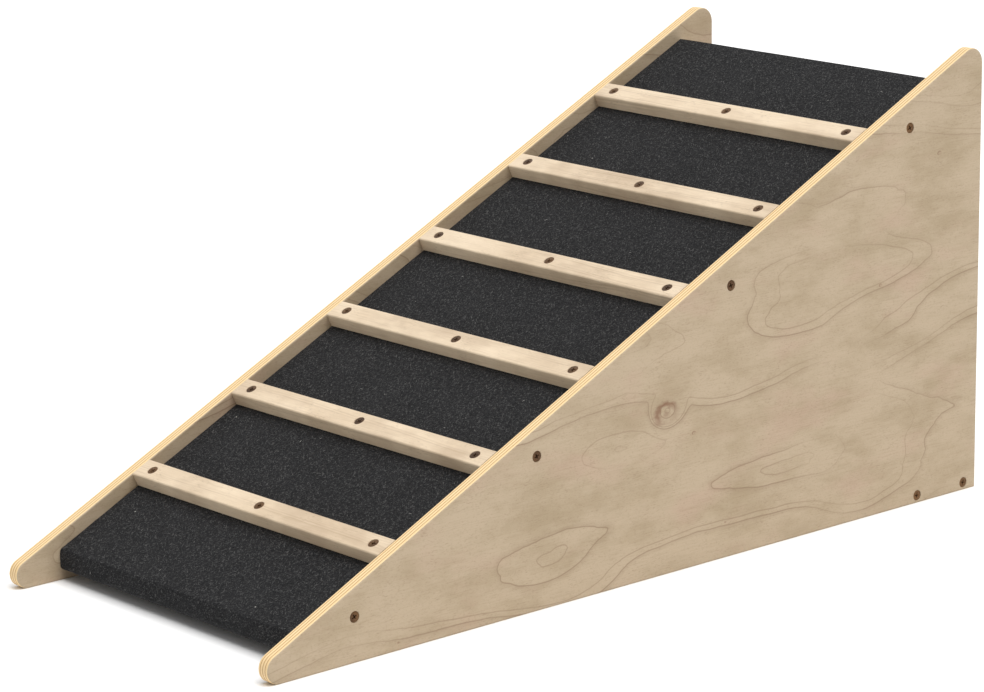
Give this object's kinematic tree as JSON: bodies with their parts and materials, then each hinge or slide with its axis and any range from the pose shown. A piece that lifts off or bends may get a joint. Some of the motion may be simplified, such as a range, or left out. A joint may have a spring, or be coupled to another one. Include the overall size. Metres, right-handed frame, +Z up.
{
  "type": "dog ramp",
  "caption": "Fixed plywood wedge ramp for small pets, with a carpeted walkway, cross slats for grip and a screwed-on board across the back.",
  "frame": {"origin": "middle of the floor under the ramp's bounding box", "axes": "+X from the low end to the high end, +Y to the left when walking up, +Z up"},
  "size_m": [0.8095, 0.35, 0.4017],
  "materials": {
    "plywood": "bare birch plywood, sanded",
    "slat_wood": "bare planed pine",
    "carpet": "charcoal needle felt",
    "bronzed_screw": "dull bronzed steel",
    "staple_steel": "galvanised"
  },
  "bodies": {
    "root": {"side_panel_right": "plywood", "side_panel_left": "plywood", "deck_board": "plywood", "rear_bottom_rail": "plywood", "carpet": "carpet", "slat_1": "slat_wood", "slat_2": "slat_wood", "slat_3": "slat_wood", "slat_4": "slat_wood", "slat_5": "slat_wood", "slat_6": "slat_wood", "slat_screws_1": "bronzed_screw", "slat_screws_2": "bronzed_screw", "slat_screws_3": "bronzed_screw", "slat_screws_4": "bronzed_screw", "slat_screws_5": "bronzed_screw", "slat_screws_6": "bronzed_screw", "deck_screws_right": "bronzed_screw", "deck_screws_left": "bronzed_screw", "rail_screws_right": "bronzed_screw", "rail_screws_left": "bronzed_screw", "flap_staples": "staple_steel"}
  },
  "joints": []
}
